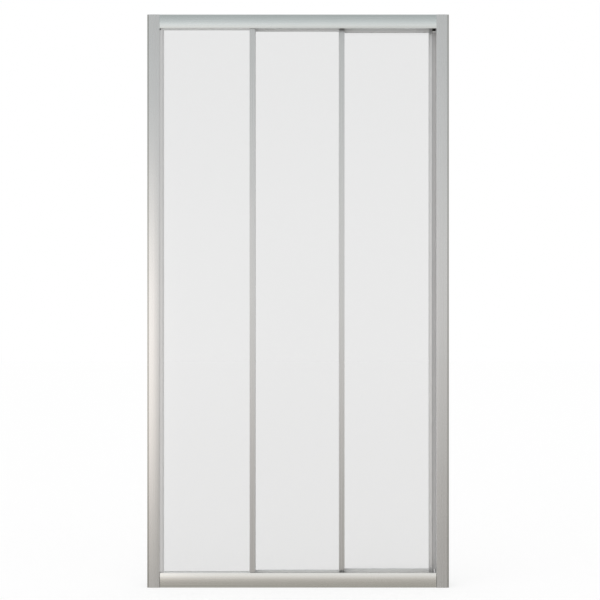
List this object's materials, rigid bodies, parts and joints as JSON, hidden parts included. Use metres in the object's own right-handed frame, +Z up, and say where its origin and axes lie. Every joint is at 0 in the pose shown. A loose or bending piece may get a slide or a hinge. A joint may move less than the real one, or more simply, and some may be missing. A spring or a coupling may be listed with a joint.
{
  "type": "sliding shower door",
  "caption": "Framed sliding shower door for a recess: a fixed glass panel and two sliding ones, hung on rollers and linked by hooked stiles.",
  "frame": {"origin": "middle of the frame's foot, on the tray", "axes": "+Z up, +X across the doorway from the fixed panel to the closing side, -Y towards the viewer outside the shower"},
  "size_m": [1, 0.0638, 1.9],
  "materials": {
    "anodised_aluminium": "satin anodised",
    "toughened_glass": "polished",
    "grey_gasket": "matt",
    "grey_pile": "brush pile",
    "white_nylon": "moulded",
    "black_rubber": "matt",
    "clear_vinyl": "soft moulded",
    "stainless_screw": "turned and passivated",
    "bearing_steel": "ground",
    "zinc_plated_steel": "zinc plated",
    "magnet_strip": "extruded"
  },
  "bodies": {
    "frame": {"wall_profile_left": "anodised_aluminium", "wall_profile_right": "anodised_aluminium", "jamb_left": "anodised_aluminium", "jamb_right": "anodised_aluminium", "top_rail": "anodised_aluminium", "bottom_rail": "anodised_aluminium", "frame_corner_screws": "stainless_screw", "jamb_lock_screws": "stainless_screw", "bottom_corner_gaskets": "black_rubber", "track_buffers": "black_rubber", "jamb_magnet_strip": "magnet_strip", "fixed_glass": "toughened_glass", "fixed_glazing_gasket": "grey_gasket", "fixed_wall_stile": "anodised_aluminium", "fixed_interlock_stile": "anodised_aluminium", "fixed_top_rail": "anodised_aluminium", "fixed_bottom_rail": "anodised_aluminium", "fixed_corner_screws": "stainless_screw", "fixed_hanger_blocks": "white_nylon", "fixed_setting_blocks": "white_nylon", "fixed_pile_strip": "grey_pile"},
    "middle_panel": {"middle_glass": "toughened_glass", "middle_glazing_gasket": "grey_gasket", "middle_top_rail": "anodised_aluminium", "middle_bottom_rail": "anodised_aluminium", "middle_corner_screws": "stainless_screw", "middle_roller_brackets": "zinc_plated_steel", "middle_bracket_screws": "stainless_screw", "middle_roller_axles": "bearing_steel", "middle_bearing_inner_rings": "bearing_steel", "middle_guide_shoes": "white_nylon", "middle_trailing_stile": "anodised_aluminium", "middle_leading_stile": "anodised_aluminium", "middle_pile_strip": "grey_pile"},
    "leading_panel": {"leading_glass": "toughened_glass", "leading_glazing_gasket": "grey_gasket", "leading_top_rail": "anodised_aluminium", "leading_bottom_rail": "anodised_aluminium", "leading_corner_screws": "stainless_screw", "leading_roller_brackets": "zinc_plated_steel", "leading_bracket_screws": "stainless_screw", "leading_roller_axles": "bearing_steel", "leading_bearing_inner_rings": "bearing_steel", "leading_guide_shoes": "white_nylon", "leading_trailing_stile": "anodised_aluminium", "closing_stile": "anodised_aluminium", "closing_magnet_strip": "magnet_strip", "pick_up_pads": "clear_vinyl"},
    "middle_left_roller": {"middle_left_roller_tyre": "white_nylon", "middle_left_roller_bearing": "bearing_steel"},
    "middle_right_roller": {"middle_right_roller_tyre": "white_nylon", "middle_right_roller_bearing": "bearing_steel"},
    "leading_left_roller": {"leading_left_roller_tyre": "white_nylon", "leading_left_roller_bearing": "bearing_steel"},
    "leading_right_roller": {"leading_right_roller_tyre": "white_nylon", "leading_right_roller_bearing": "bearing_steel"}
  },
  "joints": [
    {"name": "middle_slide", "type": "slide", "parent": "frame", "child": "middle_panel", "axis": [-1, 0, 0], "range_m": [0, 0.288]},
    {"name": "leading_slide", "type": "slide", "parent": "middle_panel", "child": "leading_panel", "axis": [-1, 0, 0], "range_m": [0, 0.2866]},
    {"name": "middle_left_roller_turn", "type": "hinge", "parent": "middle_panel", "child": "middle_left_roller", "pos_m": [-0.08047, 0.0047, 1.8877], "axis": [0, -1, 0], "range_deg": [0, 1966]},
    {"name": "middle_right_roller_turn", "type": "hinge", "parent": "middle_panel", "child": "middle_right_roller", "pos_m": [0.07487, 0.0047, 1.8877], "axis": [0, -1, 0], "range_deg": [0, 1966]},
    {"name": "leading_left_roller_turn", "type": "hinge", "parent": "leading_panel", "child": "leading_left_roller", "pos_m": [0.21687, 0.0237, 1.8877], "axis": [0, -1, 0], "range_deg": [0, 1966]},
    {"name": "leading_right_roller_turn", "type": "hinge", "parent": "leading_panel", "child": "leading_right_roller", "pos_m": [0.3774, 0.0237, 1.8877], "axis": [0, -1, 0], "range_deg": [0, 1966]}
  ],
  "couplings": [
    {"joint": "middle_left_roller_turn", "follows": "middle_slide", "rad_per_m": 119.05},
    {"joint": "middle_right_roller_turn", "follows": "middle_slide", "rad_per_m": 119.05},
    {"joint": "leading_left_roller_turn", "follows": "leading_slide", "rad_per_m": 119.05},
    {"joint": "leading_right_roller_turn", "follows": "leading_slide", "rad_per_m": 119.05}
  ]
}
